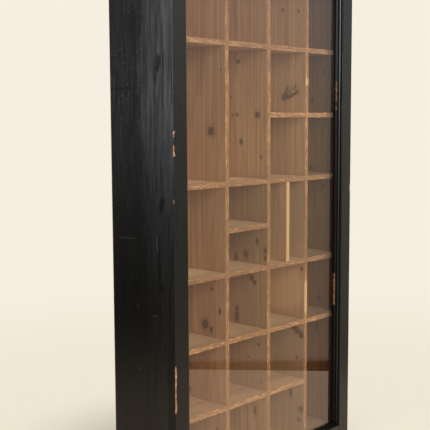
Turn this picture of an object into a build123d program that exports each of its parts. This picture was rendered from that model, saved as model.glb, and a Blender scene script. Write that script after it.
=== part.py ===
"""Tall display case: a boarded case with a cross-lapped lattice of compartments and a glazed front door.

Millimetres. +X is to the right, the front faces -Y, +Z is up. The origin is on the floor, at the middle
of the case's width and of its whole depth.
"""

import os

from build123d import *

# ---------------------------------------------------------------- driving dimensions

case_width = 900.0
case_height = 1880.0
case_depth = 232.0  # front edges of the side panels to the back of the back boards
side_thickness = 20.0
top_thickness = 20.0
bottom_thickness = 20.0
bottom_top = 61.0  # upper face of the bottom panel above the floor
edge_ease = 1.2  # rounding of the arrises on the outside
same_place = 0.001  # points closer than this are one

board_thickness = 16.0  # dividers and shelves
lattice_setback = 1.5  # front edges of the lattice behind the front edges of the sides
column_width = 190.0  # columns 2, 3 and 4; column 1 takes what is left
row_heights = (197.5, 197.5, 197.5, 268.5, 199.0, 201.0)  # rows 1 to 6 from the bottom, clear
short_shelf_height = 123.5  # clear height under the short shelf of the tall row
housing_depth = 5.0  # how deep ends of boards sit in the boards that carry them
housing_stop = 10.0  # housings end this far behind the front edge
joint_clearance = 0.1  # each side of a board in its slot, housing or groove

back_thickness = 12.0
back_board_count = 5
back_rebate = 10.0  # how far the back boards and the top panel reach into the sides
back_floor_gap = 6.0
board_face_gap = 0.5
tongue_length = 5.0
tongue_thickness = 4.0

plinth_thickness = 18.0
bearer_width = 20.0
glue_block_size = 28.0
rail_height = 60.0
rail_thickness = 16.0
wall_hole_spacing = 600.0
wall_hole_radius = 3.0

door_thickness = 32.0
door_gap = 0.5  # back of the door to the case
door_floor_gap = 12.0
door_head_gap = 2.0
stile_width = 57.0
mortise_cover = 17.0  # wood left beyond the end of a mortise
tenon_thickness = 10.0
tenon_shoulder = 8.0
moulding_width = 8.0
moulding_front_inset = 1.0
quirk_width = 1.4  # narrow fillet along the frame, in front of the quirk
quirk_depth = 2.4
bead_ground = 4.0  # how far the ground under the beads slopes out
bead_lip = 2.8  # thickness of the lip in front of the glass
outer_bead_radius = 3.6
inner_bead_radius = 3.2
outer_bead_place = (1.7, 7.7)  # middle of the bead: inwards from the frame, behind the door's face
inner_bead_place = (4.3, 17.8)
glass_thickness = 3.0
glass_edge_gap = 1.0
strip_thickness = 5.0
strip_width = 7.0

hinge_length = 76.0
hinge_leaf_inset = 2.0  # inner edge of a leaf from the inside face of the side
hinge_leaf_thickness = 2.0
leaf_screw_stagger = 2.0
hinge_end_distance = 190.0  # end of the door to the middle of the first hinge
knuckle_count = 5
knuckle_wall = 1.45
knuckle_gap = 0.3  # between knuckles, and from the barrel to the case and door
pin_radius = 2.5
pin_clearance = 0.05
pin_head_inset = 0.4  # edge of a pin's head inside the outside of the barrel
pin_head_height = 2.5

screw_radius = 1.7
screw_cover = 14.0  # wood left in front of the point of a hinge screw in the door
screw_clearance = 0.05
screw_slot_width = 0.8
screw_slot_depth = 0.6
nail_radius = 1.0
nail_length = 30.0
nail_head_radius = 2.2
nail_head_height = 0.8
nail_edge_distance = 30.0
pin_nail_radius = 0.6
pin_nail_length = 12.0
pin_nail_spacing = 200.0

catch_size = (14.0, 17.0, 46.0)
catch_end_distance = 130.0  # end of the door to the middle of a catch
catch_gap = 0.3
catch_screw_spacing = 34.0
catch_screw_bite = 10.0  # length in the side panel
pole_plate_size = (1.5, 4.0, 20.0)
pole_plate_spacing = 6.0
strike_size = (13.0, 1.2, 40.0)
strike_screw_length = 12.0

# ---------------------------------------------------------------- places worked out from them

half_width = case_width / 2
front_y = -(door_thickness + door_gap + case_depth) / 2
door_back_y = front_y + door_thickness
case_front_y = door_back_y + door_gap
lattice_front_y = case_front_y + lattice_setback
case_back_y = case_front_y + case_depth
back_inner_y = case_back_y - back_thickness
lattice_middle_y = (lattice_front_y + back_inner_y) / 2

inner_left = -half_width + side_thickness
inner_right = half_width - side_thickness
inner_top = case_height - top_thickness
bottom_underside = bottom_top - bottom_thickness

columns = "ABCD"  # from left to right
divider_count = len(columns) - 1
column_pitch = column_width + board_thickness
first_column_width = inner_right - inner_left - divider_count * column_pitch
divider_left = [
    inner_left + first_column_width + index * column_pitch for index in range(divider_count)
]
column_left = [inner_left] + [x + board_thickness for x in divider_left]
column_right = divider_left + [inner_right]

row_top = []  # upper face of the shelf over each of rows 1 to 6
level = bottom_top
for height in row_heights:
    level += height + board_thickness
    row_top.append(level)
top_shelf_level = (row_top[-1] + inner_top + board_thickness) / 2
short_shelf_level = row_top[2] + short_shelf_height + board_thickness

# upper face of each shelf and the columns that it spans
shelves = {
    "shelf_1": (row_top[0], "ABC"),
    "shelf_2": (row_top[1], "ABCD"),
    "shelf_3": (row_top[2], "ABCD"),
    "shelf_4": (short_shelf_level, "B"),
    "shelf_5": (row_top[3], "ABCD"),
    "shelf_6": (row_top[4], "CD"),
    "shelf_7": (row_top[5], "ABCD"),
    "shelf_8": (top_shelf_level, "BCD"),
}
upright_column = columns.index("C")
upright_middle = (column_left[upright_column] + column_right[upright_column]) / 2
upright_left = upright_middle - board_thickness / 2

door_bottom = door_floor_gap
door_top = case_height - door_head_gap
frame_x = half_width - stile_width  # opening between the stiles
frame_bottom = door_bottom + stile_width
frame_top = door_top - stile_width
glass_back_y = door_back_y - strip_thickness
glass_front_y = glass_back_y - glass_thickness
tenon_middle_y = (front_y + glass_front_y) / 2

screw_head_radius = 2 * screw_radius
screw_length = door_thickness - screw_cover
knuckle_radius = pin_radius + pin_clearance + knuckle_wall
hinge_leaf_width = side_thickness - hinge_leaf_inset
hinge_x = half_width + knuckle_radius + knuckle_gap
hinge_y = (door_back_y + case_front_y) / 2
hinge_levels = {
    "top": door_top - hinge_end_distance,
    "middle": (door_top + door_bottom) / 2,
    "bottom": door_bottom + hinge_end_distance,
}
catch_levels = {
    "upper": door_top - catch_end_distance,
    "lower": door_bottom + catch_end_distance,
}
catch_x = inner_left + catch_size[0] / 2
catch_front_y = door_back_y + strike_size[1] + catch_gap
catch_middle_y = catch_front_y + catch_size[1] / 2


# ---------------------------------------------------------------- helpers


def block(x, y, z):
    """Box between the low and high values of each axis."""
    size = (x[1] - x[0], y[1] - y[0], z[1] - z[0])
    centre = ((x[0] + x[1]) / 2, (y[0] + y[1]) / 2, (z[0] + z[1]) / 2)
    return Pos(*centre) * Box(*size)


def rod(start, direction, radius, length):
    """Cylinder from a point along -Y or +Y (direction -1 or +1)."""
    cylinder = Rot(90, 0, 0) * Cylinder(radius, length)
    return Pos(start[0], start[1] + direction * length / 2, start[2]) * cylinder


def group(solids):
    """Separate solids kept as one sub-part."""
    return Compound(children=list(solids))


def is_at(edge, corner):
    """Whether the middle of an edge stands over a corner, given as X and Y."""
    return abs(edge.center().X - corner[0]) + abs(edge.center().Y - corner[1]) < same_place


def eased(board, corners):
    """Rounds the upright edges that stand at the given corners of a board."""
    edges = board.edges().filter_by(Axis.Z)
    chosen = [edge for edge in edges if any(is_at(edge, corner) for corner in corners)]
    return fillet(chosen, edge_ease)


def screw(head, direction, length):
    """Countersunk slotted screw whose flat head faces against the direction."""
    shank = rod(head, direction, screw_radius, length)
    cone_height = screw_head_radius - screw_radius
    cone = Cone(screw_head_radius, screw_radius, cone_height)
    cone = Rot(-90 * direction, 0, 0) * cone
    cone = Pos(head[0], head[1] + direction * cone_height / 2, head[2]) * cone
    slot_y = sorted((head[1], head[1] + direction * screw_slot_depth))
    slot = block(
        (head[0] - screw_head_radius, head[0] + screw_head_radius),
        slot_y,
        (head[2] - screw_slot_width / 2, head[2] + screw_slot_width / 2),
    )
    return shank + cone - slot


def screw_hole(head, direction, length):
    """Room for the same screw with its clearance."""
    radius = screw_radius + screw_clearance
    head_radius = screw_head_radius + screw_clearance
    shank = rod(head, direction, radius, length + screw_clearance)
    cone_height = head_radius - radius
    cone = Rot(-90 * direction, 0, 0) * Cone(head_radius, radius, cone_height)
    cone = Pos(head[0], head[1] + direction * cone_height / 2, head[2]) * cone
    return shank + cone


# ---------------------------------------------------------------- places of fasteners


def leaf_screw_points(level, face_y):
    """Three staggered screws in a hinge leaf."""
    pitch = hinge_length / 3
    middle_x = half_width - hinge_leaf_width / 2
    return [
        (middle_x + offset, face_y, level + step * pitch)
        for step, offset in ((-1, leaf_screw_stagger), (0, -leaf_screw_stagger), (1, leaf_screw_stagger))
    ]


def catch_screw_levels(level):
    """Two screws through the ends of a catch housing."""
    return [level - catch_screw_spacing / 2, level + catch_screw_spacing / 2]


def back_nail_points():
    """Two nails in each end of each back board."""
    pitch = 2 * (half_width - side_thickness + back_rebate) / back_board_count
    left = -half_width + side_thickness - back_rebate
    points = []
    for index in range(back_board_count):
        low = left + index * pitch + nail_edge_distance
        high = left + (index + 1) * pitch - nail_edge_distance
        for x in (low, high):
            for z in (inner_top + top_thickness / 2, bottom_underside + bottom_thickness / 2):
                points.append((x, case_back_y, z))
    return points


# ---------------------------------------------------------------- case


def shelf_ends(span):
    """Faces of the boards between which a shelf runs."""
    return column_left[columns.index(span[0])], column_right[columns.index(span[-1])]


def crosses(span, index):
    """Whether a shelf that spans these columns crosses a divider."""
    return columns[index] in span and columns[index + 1] in span


def board_slots(y_range):
    """Housings in the sides and dividers for both ends of each shelf."""
    slots = []
    for top, span in shelves.values():
        z_range = (top - board_thickness - joint_clearance, top + joint_clearance)
        left_end, right_end = shelf_ends(span)
        left = (left_end - housing_depth - joint_clearance, left_end)
        right = (right_end, right_end + housing_depth + joint_clearance)
        slots.append(block(left, y_range, z_range))
        slots.append(block(right, y_range, z_range))
    return slots


def side_panel(sign):
    """Full-height side with housings, a rebate for the back and one for the top panel."""
    outer = sign * half_width
    inner = sign * (half_width - side_thickness)
    x_range = sorted((outer, inner))
    panel = block(x_range, (case_front_y, case_back_y), (0, case_height))
    panel = eased(panel, [(outer, case_front_y), (outer, case_back_y)])
    rebate_x = sorted((inner, inner + sign * back_rebate))
    panel -= block(rebate_x, (back_inner_y, case_back_y), (0, case_height))
    panel -= block(rebate_x, (case_front_y, case_back_y), (inner_top, case_height))
    housing_x = sorted((inner, inner + sign * (housing_depth + joint_clearance)))
    panel -= block(
        housing_x, (case_front_y, back_inner_y), (bottom_underside, bottom_top)
    )
    for slot in board_slots((lattice_front_y + housing_stop, back_inner_y)):
        panel -= slot
    return panel


def side_panel_right():
    """The hinge side: gains for the leaves and holes for their screws."""
    panel = side_panel(1)
    for level in hinge_levels.values():
        panel -= block(
            (half_width - hinge_leaf_width, half_width),
            (case_front_y, case_front_y + hinge_leaf_thickness),
            (level - hinge_length / 2, level + hinge_length / 2),
        )
        for point in leaf_screw_points(level, case_front_y):
            panel -= screw_hole(point, 1, screw_length)
    return panel


def side_panel_left():
    """The catch side: holes for the screws of the catches."""
    return side_panel(-1) - group(catch_screw_bodies(screw_clearance))


def top_panel():
    """Lies in the rebates of the sides, in front of the back boards."""
    reach = half_width - side_thickness + back_rebate
    panel = block((-reach, reach), (case_front_y, back_inner_y), (inner_top, case_height))
    return panel - group(divider_grooves()) - group(nail_holes())


def bottom_panel():
    """Housed in the sides, on the plinth."""
    reach = half_width - side_thickness + housing_depth
    panel = block((-reach, reach), (case_front_y, back_inner_y), (bottom_underside, bottom_top))
    return panel - group(divider_grooves()) - group(nail_holes())


def divider_grooves():
    """Grooves in the top and bottom panels for the ends of the dividers."""
    grooves = []
    for x in divider_left:
        x_range = (x - joint_clearance, x + board_thickness + joint_clearance)
        y_range = (lattice_front_y + housing_stop, back_inner_y)
        depth = housing_depth + joint_clearance
        grooves.append(block(x_range, y_range, (bottom_top - depth, bottom_top)))
        grooves.append(block(x_range, y_range, (inner_top, inner_top + depth)))
    return grooves


def divider(index):
    """Vertical board: slots from the back for shelves that cross it, housings for those that end."""
    x = divider_left[index]
    x_range = (x, x + board_thickness)
    board = block(x_range, (lattice_front_y, back_inner_y), (bottom_top, inner_top))
    tongue_y = (lattice_front_y + housing_stop, back_inner_y)
    board += block(x_range, tongue_y, (bottom_top - housing_depth, bottom_top))
    board += block(x_range, tongue_y, (inner_top, inner_top + housing_depth))
    for top, span in shelves.values():
        z_range = (top - board_thickness - joint_clearance, top + joint_clearance)
        if crosses(span, index):
            board -= block(x_range, (lattice_middle_y - joint_clearance, back_inner_y), z_range)
    for slot in board_slots((lattice_front_y + housing_stop, back_inner_y)):
        board -= slot
    rail_y = (back_inner_y - rail_thickness - joint_clearance, back_inner_y)
    rail_z = (inner_top - rail_height - joint_clearance, inner_top + housing_depth)
    return board - block(x_range, rail_y, rail_z)


def shelf(name):
    """Horizontal board: slots from the front where it crosses dividers, ends in housings."""
    top, span = shelves[name]
    z_range = (top - board_thickness, top)
    left, right = shelf_ends(span)
    board = block((left, right), (lattice_front_y, back_inner_y), z_range)
    tongue_y = (lattice_front_y + housing_stop, back_inner_y)
    board += block((left - housing_depth, left), tongue_y, z_range)
    board += block((right, right + housing_depth), tongue_y, z_range)
    for index, x in enumerate(divider_left):
        slot_x = (x - joint_clearance, x + board_thickness + joint_clearance)
        if crosses(span, index):
            board -= block(slot_x, (lattice_front_y, lattice_middle_y), z_range)
    return board - group(upright_grooves())


def upright_grooves():
    """Housings above and below the short upright."""
    x_range = (upright_left - joint_clearance, upright_left + board_thickness + joint_clearance)
    y_range = (lattice_front_y + housing_stop, back_inner_y)
    depth = housing_depth + joint_clearance
    floor = row_top[2]
    ceiling = row_top[3] - board_thickness
    return [
        block(x_range, y_range, (floor - depth, floor)),
        block(x_range, y_range, (ceiling, ceiling + depth)),
    ]


def upright_half():
    """Short upright that halves the tall row of the third column."""
    x_range = (upright_left, upright_left + board_thickness)
    floor = row_top[2]
    ceiling = row_top[3] - board_thickness
    board = block(x_range, (lattice_front_y, back_inner_y), (floor, ceiling))
    tongue_y = (lattice_front_y + housing_stop, back_inner_y)
    tongue_z = (floor - housing_depth, ceiling + housing_depth)
    return board + block(x_range, tongue_y, tongue_z)


def back_board(index):
    """Tongued and grooved board; the first has no groove and the last has no tongue."""
    reach = half_width - side_thickness + back_rebate
    pitch = 2 * reach / back_board_count
    left = -reach + index * pitch
    right = left + pitch
    if index < back_board_count - 1:
        right -= board_face_gap
    z_range = (back_floor_gap, case_height)
    board = block((left, right), (back_inner_y, case_back_y), z_range)
    middle_y = (back_inner_y + case_back_y) / 2
    if index < back_board_count - 1:
        tongue_y = (middle_y - tongue_thickness / 2, middle_y + tongue_thickness / 2)
        board += block((right, right + tongue_length), tongue_y, z_range)
    if index > 0:
        half_groove = tongue_thickness / 2 + joint_clearance
        groove_y = (middle_y - half_groove, middle_y + half_groove)
        board -= block((left, left + tongue_length + joint_clearance), groove_y, z_range)
    return board - group(nail_holes()) - group(wall_holes())


def nail_holes():
    """Room for the nails of the back boards."""
    holes = []
    for point in back_nail_points():
        holes.append(rod(point, -1, nail_radius + screw_clearance, nail_length + screw_clearance))
        holes.append(
            rod(point, -1, nail_head_radius + screw_clearance, nail_head_height + screw_clearance)
        )
    return holes


def back_nails():
    """Wire nails, heads flush with the boards."""
    nails = []
    for point in back_nail_points():
        shank = rod(point, -1, nail_radius, nail_length)
        nails.append(shank + rod(point, -1, nail_head_radius, nail_head_height))
    return group(nails)


def wall_holes():
    """Two holes through the back boards and the rail."""
    level = inner_top - rail_height / 2
    length = back_thickness + rail_thickness
    return [
        rod((x, case_back_y, level), -1, wall_hole_radius, length)
        for x in (-wall_hole_spacing / 2, wall_hole_spacing / 2)
    ]


def fixing_rail():
    """Rail under the top panel that takes the two wall screws."""
    rail = block(
        (inner_left, inner_right),
        (back_inner_y - rail_thickness, back_inner_y),
        (inner_top - rail_height, inner_top),
    )
    return rail - group(wall_holes())


def plinth_front():
    """Board on edge under the front of the bottom panel."""
    y_range = (lattice_front_y, lattice_front_y + plinth_thickness)
    return block((inner_left, inner_right), y_range, (0, bottom_underside))


def plinth_back():
    """Board on edge under the back of the bottom panel."""
    y_range = (back_inner_y - plinth_thickness, back_inner_y)
    return block((inner_left, inner_right), y_range, (0, bottom_underside))


def centre_bearer():
    """Bearer from plinth to plinth under the middle of the bottom panel."""
    y_range = (lattice_front_y + plinth_thickness, back_inner_y - plinth_thickness)
    return block((-bearer_width / 2, bearer_width / 2), y_range, (0, bottom_underside))


def glue_blocks():
    """Three-cornered blocks in the corners of the plinth."""
    blocks = []
    for sign_x in (-1, 1):
        corner_x = sign_x * (half_width - side_thickness)
        for sign_y in (-1, 1):
            if sign_y < 0:
                corner_y = lattice_front_y + plinth_thickness
            else:
                corner_y = back_inner_y - plinth_thickness
            outline = Polyline(
                (corner_x, corner_y),
                (corner_x - sign_x * glue_block_size, corner_y),
                (corner_x, corner_y - sign_y * glue_block_size),
                close=True,
            )
            blocks.append(extrude(make_face(outline), bottom_underside, dir=(0, 0, 1)))
    return group(blocks)


# ---------------------------------------------------------------- catches


def catch_housing(level):
    """Housing on the left side panel, with pockets for the pole plates and holes for its screws."""
    x_range = (inner_left, inner_left + catch_size[0])
    y_range = (catch_front_y, catch_front_y + catch_size[1])
    z_range = (level - catch_size[2] / 2, level + catch_size[2] / 2)
    housing = block(x_range, y_range, z_range)
    return housing - group(pole_plates_at(level)) - group(catch_screw_bodies(screw_clearance))


def pole_plates_at(level):
    """Two steel plates whose front edges stand at the face of the housing."""
    width, depth, height = pole_plate_size
    y_range = (catch_front_y, catch_front_y + depth)
    z_range = (level - height / 2, level + height / 2)
    return [
        block((x - width / 2, x + width / 2), y_range, z_range)
        for x in (catch_x - pole_plate_spacing / 2, catch_x + pole_plate_spacing / 2)
    ]


def catch_pole_plates():
    """The plates of both catches."""
    return group(plate for level in catch_levels.values() for plate in pole_plates_at(level))


def catch_screw_bodies(clearance):
    """Cheese-head screws through the housings into the side panel, sunk flush, or their holes."""
    face_x = inner_left + catch_size[0]
    head_base_x = face_x - screw_head_radius
    tip_x = inner_left - catch_screw_bite - clearance
    bodies = []
    for catch_level in catch_levels.values():
        for level in catch_screw_levels(catch_level):
            shank = along_x((tip_x, head_base_x), screw_radius + clearance, level)
            head = along_x((head_base_x, face_x), screw_head_radius + clearance, level)
            bodies.append(shank + head)
    return bodies


def along_x(x, radius, level):
    """Cylinder between two values of X, in the middle of a catch's depth."""
    cylinder = Rot(0, 90, 0) * Cylinder(radius, x[1] - x[0])
    return Pos((x[0] + x[1]) / 2, catch_middle_y, level) * cylinder


def catch_screws():
    """The screws of both catches."""
    return group(catch_screw_bodies(0))


def strike_point(level):
    """Middle of a strike plate's face towards the catch."""
    return (catch_x, door_back_y + strike_size[1], level)


def strike_plate(level):
    """Steel plate on the back of the door in front of a catch."""
    width, thickness, height = strike_size
    plate = block(
        (catch_x - width / 2, catch_x + width / 2),
        (door_back_y, door_back_y + thickness),
        (level - height / 2, level + height / 2),
    )
    return plate - screw_hole(strike_point(level), -1, strike_screw_length)


def strike_screws():
    """One screw through each strike plate into the door."""
    return group(
        screw(strike_point(level), -1, strike_screw_length) for level in catch_levels.values()
    )


# ---------------------------------------------------------------- hinges


def knuckles(level, first):
    """Every other knuckle of a hinge's barrel, starting with the first or second."""
    pitch = hinge_length / knuckle_count
    rings = []
    for index in range(first, knuckle_count, 2):
        low = level - hinge_length / 2 + index * pitch
        high = low + pitch
        if index > 0:
            low += knuckle_gap / 2
        if index < knuckle_count - 1:
            high -= knuckle_gap / 2
        rings.append((low, high))
    return rings


def hinge_leaf(level, inner_face_y, outer_face_y, first):
    """Leaf with its knuckles: a plate between two faces, bored for the pin and the screws."""
    y_range = sorted((inner_face_y, outer_face_y))
    z_range = (level - hinge_length / 2, level + hinge_length / 2)
    leaf = block((half_width - hinge_leaf_width, half_width), y_range, z_range)
    for low, high in knuckles(level, first):
        middle = (low + high) / 2
        leaf += block((half_width, hinge_x), y_range, (low, high))
        leaf += Pos(hinge_x, hinge_y, middle) * Cylinder(knuckle_radius, high - low)
    leaf -= Pos(hinge_x, hinge_y, level) * Cylinder(pin_radius + pin_clearance, hinge_length)
    direction = 1 if outer_face_y > inner_face_y else -1
    for point in leaf_screw_points(level, inner_face_y):
        leaf -= screw_hole(point, direction, screw_length)
    return leaf


def hinge_case_leaf(level):
    """Leaf let into the front edge of the right side panel."""
    return hinge_leaf(level, case_front_y, case_front_y + hinge_leaf_thickness, 0)


def hinge_door_leaf(level):
    """Leaf let into the back of the right stile."""
    return hinge_leaf(level, door_back_y, door_back_y - hinge_leaf_thickness, 1)


def hinge_pins():
    """Loose pins with a flat head at each end."""
    pins = []
    for level in hinge_levels.values():
        pin = Pos(hinge_x, hinge_y, level) * Cylinder(pin_radius, hinge_length)
        for side in (-1, 1):
            middle = level + side * (hinge_length + pin_head_height) / 2
            head = Cylinder(knuckle_radius - pin_head_inset, pin_head_height)
            pin += Pos(hinge_x, hinge_y, middle) * head
        pins.append(pin)
    return group(pins)


def hinge_case_screws():
    """Screws of the case leaves."""
    return group(
        screw(point, 1, screw_length)
        for level in hinge_levels.values()
        for point in leaf_screw_points(level, case_front_y)
    )


def hinge_door_screws():
    """Screws of the door leaves."""
    return group(
        screw(point, -1, screw_length)
        for level in hinge_levels.values()
        for point in leaf_screw_points(level, door_back_y)
    )


# ---------------------------------------------------------------- door


def tenon(sign, low, high, clearance):
    """Tenon of a rail, or its mortise when a clearance is given."""
    end = half_width - mortise_cover - joint_clearance + clearance
    x_range = sorted((sign * frame_x, sign * end))
    half = tenon_thickness / 2 + clearance
    z_range = (low + tenon_shoulder - clearance, high - tenon_shoulder + clearance)
    return block(x_range, (tenon_middle_y - half, tenon_middle_y + half), z_range)


def rail_levels():
    """Lower and upper edges of the two rails."""
    return ((door_bottom, frame_bottom), (frame_top, door_top))


def door_stile(sign):
    """Upright of the door with a mortise for each rail."""
    outer = sign * half_width
    x_range = sorted((outer, sign * frame_x))
    stile = block(x_range, (front_y, door_back_y), (door_bottom, door_top))
    stile = eased(stile, [(outer, front_y)])
    for low, high in rail_levels():
        stile -= tenon(sign, low, high, joint_clearance)
    return stile - group(glazing_pin_bodies(pin_nail_radius + screw_clearance))


def door_stile_right():
    """The hinge stile: gains for the leaves and holes for their screws."""
    stile = door_stile(1)
    for level in hinge_levels.values():
        stile -= block(
            (half_width - hinge_leaf_width, half_width),
            (door_back_y - hinge_leaf_thickness, door_back_y),
            (level - hinge_length / 2, level + hinge_length / 2),
        )
        for point in leaf_screw_points(level, door_back_y):
            stile -= screw_hole(point, -1, screw_length)
    return stile


def door_stile_left():
    """The closing stile: holes for the screws of the strike plates."""
    stile = door_stile(-1)
    for level in catch_levels.values():
        stile -= screw_hole(strike_point(level), -1, strike_screw_length)
    return stile


def door_rail(low, high):
    """Rail between the stiles with a tenon at each end."""
    rail = block((-frame_x, frame_x), (front_y, door_back_y), (low, high))
    for sign in (-1, 1):
        rail += tenon(sign, low, high, 0)
    return rail - group(glazing_pin_bodies(pin_nail_radius + screw_clearance))


def moulding_section():
    """Two beads on a sloping ground: X is inwards from the frame, Y is the depth from the front."""
    depth = glass_front_y - front_y
    quirk_back = moulding_front_inset + quirk_depth
    ground = Polyline(
        (0, moulding_front_inset),
        (quirk_width, moulding_front_inset),
        (quirk_width, quirk_back),
        (bead_ground, depth - bead_lip),
        (moulding_width, depth - bead_lip),
        (moulding_width, depth),
        (0, depth),
        close=True,
    )
    beads = Pos(*outer_bead_place) * Circle(outer_bead_radius)
    beads += Pos(*inner_bead_place) * Circle(inner_bead_radius)
    strip = Pos(moulding_width / 2, depth / 2) * Rectangle(moulding_width, depth)
    return (make_face(ground) + beads) & strip


def moulding_bar(length):
    """Straight bar along Z with its back on X = 0 and its front at Y = 0, mitred at both ends."""
    bar = extrude(moulding_section(), length, dir=(0, 0, 1))
    depth = glass_front_y - front_y
    for low, high in ((0, moulding_width), (length, length - moulding_width)):
        wedge = Polyline((0, low), (moulding_width, low), (moulding_width, high), close=True)
        face = Plane.XZ * make_face(wedge)
        bar -= extrude(face, 2 * depth, both=True)
    return bar


def moulding(side):
    """Moulding along one side of the opening between stiles and rails."""
    height = frame_top - frame_bottom
    width = 2 * frame_x
    if side in ("left", "right"):
        bar = Pos(-frame_x, front_y, frame_bottom) * moulding_bar(height)
        return bar if side == "left" else mirror(bar, Plane.YZ)
    bar = Rot(0, 90, 0) * mirror(moulding_bar(width), Plane.YZ)
    bar = Pos(-frame_x, front_y, frame_bottom) * bar
    if side == "bottom":
        return bar
    middle = (frame_top + frame_bottom) / 2
    return mirror(bar, Plane((0, 0, middle), x_dir=(1, 0, 0), z_dir=(0, 0, 1)))


def glass_pane():
    """Pane behind the mouldings."""
    reach = frame_x - glass_edge_gap
    z_range = (frame_bottom + glass_edge_gap, frame_top - glass_edge_gap)
    return block((-reach, reach), (glass_front_y, glass_back_y), z_range)


def glazing_strip(side):
    """Strip behind the pane; the top and bottom ones fit between the upright ones."""
    y_range = (glass_back_y, door_back_y)
    holes = group(glazing_pin_bodies(pin_nail_radius + screw_clearance))
    if side in ("left", "right"):
        sign = -1 if side == "left" else 1
        x_range = sorted((sign * frame_x, sign * (frame_x - strip_width)))
        return block(x_range, y_range, (frame_bottom, frame_top)) - holes
    low = frame_bottom if side == "bottom" else frame_top - strip_width
    reach = frame_x - strip_width
    return block((-reach, reach), y_range, (low, low + strip_width)) - holes


def glazing_pin_bodies(radius):
    """Pins through the strips into the stiles and rails, or their holes."""
    middle_y = (glass_back_y + door_back_y) / 2
    bodies = []
    for level in pin_places(frame_bottom, frame_top):
        for sign in (-1, 1):
            middle_x = sign * (frame_x - strip_width + pin_nail_length / 2)
            pin = Rot(0, 90, 0) * Cylinder(radius, pin_nail_length)
            bodies.append(Pos(middle_x, middle_y, level) * pin)
    for x in pin_places(strip_width - frame_x, frame_x - strip_width):
        for edge, sign in ((frame_bottom, -1), (frame_top, 1)):
            middle_z = edge + sign * (pin_nail_length / 2 - strip_width)
            bodies.append(Pos(x, middle_y, middle_z) * Cylinder(radius, pin_nail_length))
    return bodies


def pin_places(low, high):
    """Evenly spaced places between two ends."""
    count = int((high - low) / pin_nail_spacing)
    return [low + (step + 0.5) * (high - low) / count for step in range(count)]


# ---------------------------------------------------------------- all sub-parts

parts = {
    "side_panel_left": side_panel_left(),
    "side_panel_right": side_panel_right(),
    "top_panel": top_panel(),
    "bottom_panel": bottom_panel(),
    "plinth_front": plinth_front(),
    "plinth_back": plinth_back(),
    "centre_bearer": centre_bearer(),
    "glue_blocks": glue_blocks(),
    "fixing_rail": fixing_rail(),
    "back_nails": back_nails(),
    "upright_half": upright_half(),
    "catch_pole_plates": catch_pole_plates(),
    "catch_screws": catch_screws(),
    "strike_screws": strike_screws(),
    "hinge_pins": hinge_pins(),
    "hinge_case_screws": hinge_case_screws(),
    "hinge_door_screws": hinge_door_screws(),
    "door_stile_left": door_stile_left(),
    "door_stile_right": door_stile_right(),
    "door_rail_bottom": door_rail(door_bottom, frame_bottom),
    "door_rail_top": door_rail(frame_top, door_top),
    "glass_pane": glass_pane(),
    "glazing_pins": group(glazing_pin_bodies(pin_nail_radius)),
}
for index in range(divider_count):
    parts[f"divider_{index + 1}"] = divider(index)
for name in shelves:
    parts[name] = shelf(name)
for index in range(back_board_count):
    parts[f"back_board_{index + 1}"] = back_board(index)
for side in ("left", "right", "top", "bottom"):
    parts[f"moulding_{side}"] = moulding(side)
    parts[f"glazing_strip_{side}"] = glazing_strip(side)
for place, level in hinge_levels.items():
    parts[f"hinge_case_leaf_{place}"] = hinge_case_leaf(level)
    parts[f"hinge_door_leaf_{place}"] = hinge_door_leaf(level)
for place, level in catch_levels.items():
    parts[f"catch_housing_{place}"] = catch_housing(level)
    parts[f"strike_plate_{place}"] = strike_plate(level)

os.makedirs("parts", exist_ok=True)
for name, shape in parts.items():
    export_step(shape, f"parts/{name}.step")
print(f"{len(parts)} sub-parts, hinge axis at x {hinge_x:.2f}, y {hinge_y:.2f}")
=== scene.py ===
"""Timber, glass and ironwork of a tall glazed compartment case, laid out as an add-on and run as a script."""

import math

import bmesh
import bpy
from bpy.props import FloatProperty, FloatVectorProperty, PointerProperty
from mathutils import Matrix, Vector


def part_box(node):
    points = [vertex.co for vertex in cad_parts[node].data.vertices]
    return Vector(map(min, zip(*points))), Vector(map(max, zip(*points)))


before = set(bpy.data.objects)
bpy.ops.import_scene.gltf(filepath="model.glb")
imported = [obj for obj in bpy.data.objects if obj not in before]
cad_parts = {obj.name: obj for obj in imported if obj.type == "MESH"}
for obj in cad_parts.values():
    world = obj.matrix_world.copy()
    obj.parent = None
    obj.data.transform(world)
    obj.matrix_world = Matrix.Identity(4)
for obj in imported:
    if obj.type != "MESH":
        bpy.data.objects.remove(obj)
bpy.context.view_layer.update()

bl_info = {
    "name": "Glazed compartment case",
    "version": (1, 0, 0),
    "blender": (4, 5, 0),
    "location": "View3D > Sidebar > Case",
    "description": "Dresses a tall compartment case with a glazed door in its timber, glass and ironwork",
    "category": "Object",
}

MATH = "ShaderNodeMath"
VECTOR = "ShaderNodeVectorMath"
RANGE = "ShaderNodeMapRange"
MIX = "ShaderNodeMix"
NOISE = "ShaderNodeTexNoise"
SURFACE = "ShaderNodeBsdfPrincipled"

# ---------------------------------------------------------------- places in the case, in mm

STILE_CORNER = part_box("door_stile_left")[0]
OUTER_X = -STILE_CORNER.x * 1000
DOOR_FACE_Y = STILE_CORNER.y * 1000
INNER_X = -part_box("side_panel_left")[1].x * 1000
DIVIDER_X = [sum(corner.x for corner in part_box(f"divider_{n}")) * 500 for n in (1, 2, 3)]

# In metres: the depth of the lattice's front edges, the height above which no shelf lies, and where the
# right-hand column begins.
EDGE_Y = -0.0981
TOP_Z = 1.85
COLUMN_X = 0.25

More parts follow.
